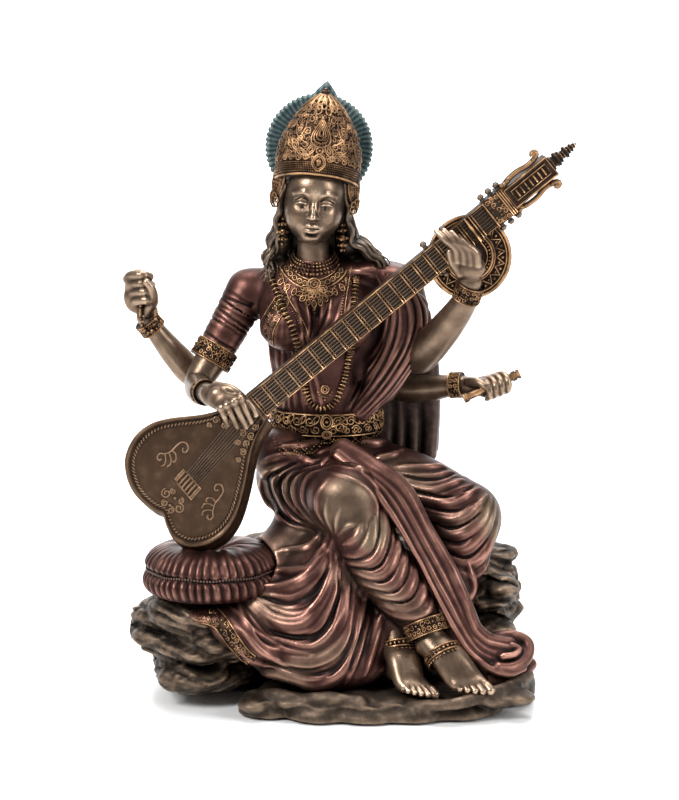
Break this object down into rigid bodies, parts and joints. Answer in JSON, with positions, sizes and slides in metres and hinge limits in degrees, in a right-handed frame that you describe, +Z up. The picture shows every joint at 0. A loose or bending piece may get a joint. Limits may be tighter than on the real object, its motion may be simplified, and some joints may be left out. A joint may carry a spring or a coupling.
{
  "type": "seated deity statuette",
  "caption": "Tabletop bronze-look figurine: crowned, draped woman with four arms seated on a rock, playing a long-necked lute, with a round halo behind the head.",
  "frame": {"origin": "bottom centre of the whole figurine, on the surface that it stands on", "axes": "+Z up; the figure faces -Y, and its right hand side is at -X"},
  "size_m": [0.1867, 0.13, 0.256],
  "materials": {
    "rock": "dark olive-brown cold-cast bronze, dry-brushed gold on the edges",
    "skin": "warm satin bronze, dark in the recesses",
    "cloth": "satin maroon-brown metallic over bronze, rubbed copper-pink on the ridges",
    "cloth_dark": "very dark brown metallic, faint copper ridges",
    "gold": "antique gold on raised parts, black-brown in the recesses",
    "lute": "dark satin bronze",
    "hair": "dark bronze, lighter along the strands",
    "halo": "matt blue-green verdigris with bronze showing through",
    "felt": "black felt"
  },
  "bodies": {
    "root": {"felt_pad": "felt", "rock_base": "rock", "ground_slab": "rock", "cushion": "cloth", "lower_body": "cloth", "front_foot": "skin", "rear_foot": "skin", "front_pleats": "cloth", "diagonal_sash": "cloth", "torso": "cloth", "back_drape": "cloth_dark", "shoulder_border": "gold", "hem_border": "gold", "head": "skin", "hair": "hair", "crown": "gold", "crown_jewel": "gold", "ear_flowers": "gold", "earrings": "gold", "halo": "halo", "front_right_arm": "skin", "rear_right_arm": "skin", "front_left_arm": "skin", "rear_left_arm": "skin", "armlet": "gold", "front_right_bracelet": "gold", "rear_right_bracelet": "gold", "front_left_bracelet": "gold", "rear_left_bracelet": "gold", "finger_ring": "gold", "ankle_cuff": "gold", "front_anklet": "gold", "rear_anklet": "gold", "bead_choker": "gold", "collar_necklace": "gold", "long_garland": "gold", "waist_belt": "gold", "belt_swags": "gold", "prayer_beads": "gold", "manuscript_roll": "gold", "lute_bowl": "lute", "lute_soundboard": "lute", "lute_neck": "lute", "lute_frets": "gold", "lute_strings": "lute", "lute_bridge": "lute", "lute_tailpiece": "lute", "lute_gourd": "lute", "gourd_rings": "gold", "head_block": "gold", "peg_box": "lute", "tuning_pegs": "lute", "side_scrolls": "lute", "finial": "lute"}
  },
  "joints": []
}
